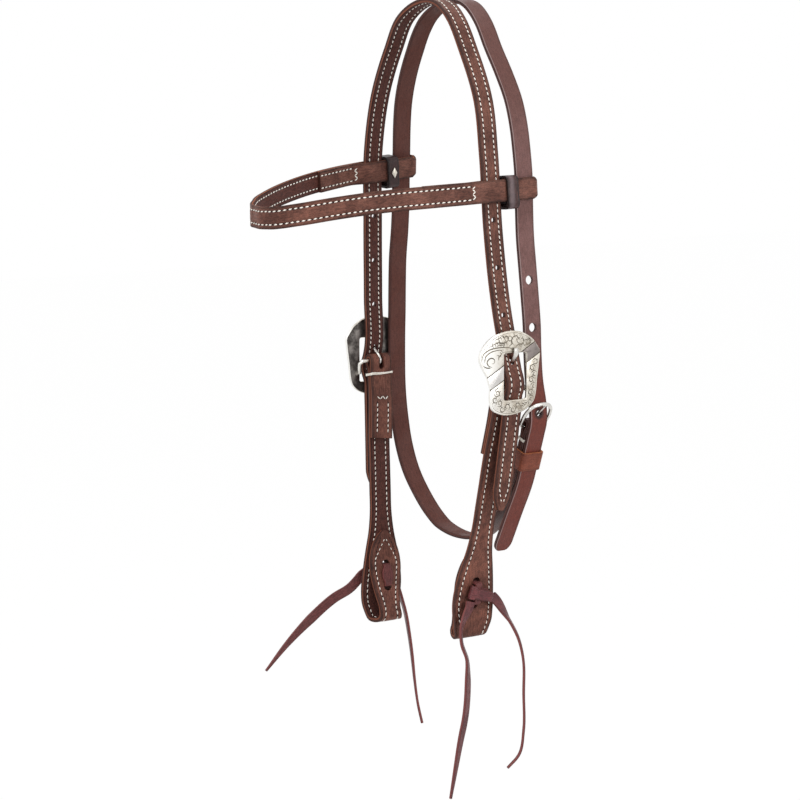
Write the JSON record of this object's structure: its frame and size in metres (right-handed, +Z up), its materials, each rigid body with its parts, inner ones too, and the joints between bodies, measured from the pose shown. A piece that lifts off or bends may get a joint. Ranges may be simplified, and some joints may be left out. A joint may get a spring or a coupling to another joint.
{
  "type": "western headstall",
  "caption": "Western horse headstall: stitched crown and browband, cart buckles, a throatlatch with its own buckle, and cheeks folded round the bit and tied with laces.",
  "frame": {"origin": "underside of the crown strap at the top of its arch, where it lies on the horse's poll", "axes": "+Z up from the bit to the poll, the horse looks along -Y, its near (left) side is +X"},
  "size_m": [0.1998, 0.2052, 0.6132],
  "materials": {
    "harness_leather": "oiled, satin",
    "bridle_leather": "glazed",
    "keeper_leather": "glazed",
    "latigo_leather": "waxed, satin",
    "tan_leather": "oiled, satin",
    "engraved_silver": "engraved and antiqued silver plate",
    "nickel_wire": "polished nickel",
    "waxed_thread": "waxed linen"
  },
  "bodies": {
    "headstall": {"crown_strap": "harness_leather", "throatlatch_strap": "bridle_leather", "near_cart_buckle": "engraved_silver", "off_cart_buckle": "engraved_silver", "throat_buckle": "nickel_wire", "throat_thread": "waxed_thread"},
    "near_cheekpiece": {"near_cheek": "harness_leather", "near_cheek_thread": "waxed_thread", "near_lace": "latigo_leather", "near_lace_knot": "latigo_leather", "near_lace_tail_front": "latigo_leather", "near_lace_tail_back": "latigo_leather"},
    "off_cheekpiece": {"off_cheek": "harness_leather", "off_cheek_thread": "waxed_thread", "off_lace": "latigo_leather", "off_lace_knot": "latigo_leather", "off_lace_tail_front": "latigo_leather", "off_lace_tail_back": "latigo_leather"},
    "near_cart_prong": {"near_cart_tongue": "nickel_wire"},
    "off_cart_prong": {"off_cart_tongue": "nickel_wire"},
    "throat_prong": {"throat_tongue": "nickel_wire"},
    "throat_loop": {"throat_keeper": "tan_leather"},
    "brow": {"browband": "harness_leather", "near_browband_keeper": "keeper_leather", "off_browband_keeper": "keeper_leather", "near_keeper_staple": "nickel_wire", "off_keeper_staple": "nickel_wire"}
  },
  "joints": [
    {"name": "near_cheek_swing", "type": "hinge", "parent": "headstall", "child": "near_cheekpiece", "pos_m": [0.084, 0.0075, -0.2785], "axis": [0, 1, 0], "range_deg": [0, 9]},
    {"name": "off_cheek_swing", "type": "hinge", "parent": "headstall", "child": "off_cheekpiece", "pos_m": [-0.084, 0.0075, -0.2845], "axis": [0, -1, 0], "range_deg": [0, 9]},
    {"name": "near_cart_tongue_turn", "type": "hinge", "parent": "headstall", "child": "near_cart_prong", "pos_m": [0.084, 0.0075, -0.2785], "axis": [0, 1, 0], "range_deg": [0, 3]},
    {"name": "off_cart_tongue_turn", "type": "hinge", "parent": "headstall", "child": "off_cart_prong", "pos_m": [-0.084, 0.0075, -0.2845], "axis": [0, -1, 0], "range_deg": [0, 3]},
    {"name": "throat_tongue_turn", "type": "hinge", "parent": "headstall", "child": "throat_prong", "pos_m": [0.08555, 0.033, -0.3176], "axis": [0, 1, 0], "range_deg": [0, 3]},
    {"name": "throat_keeper_slide", "type": "slide", "parent": "headstall", "child": "throat_loop", "axis": [-0.3256, 0, -0.9455], "range_m": [-0.005, 0.01]},
    {"name": "browband_slide", "type": "slide", "parent": "headstall", "child": "brow", "axis": [0, 0, 1], "range_m": [-0.006, 0.004]}
  ]
}
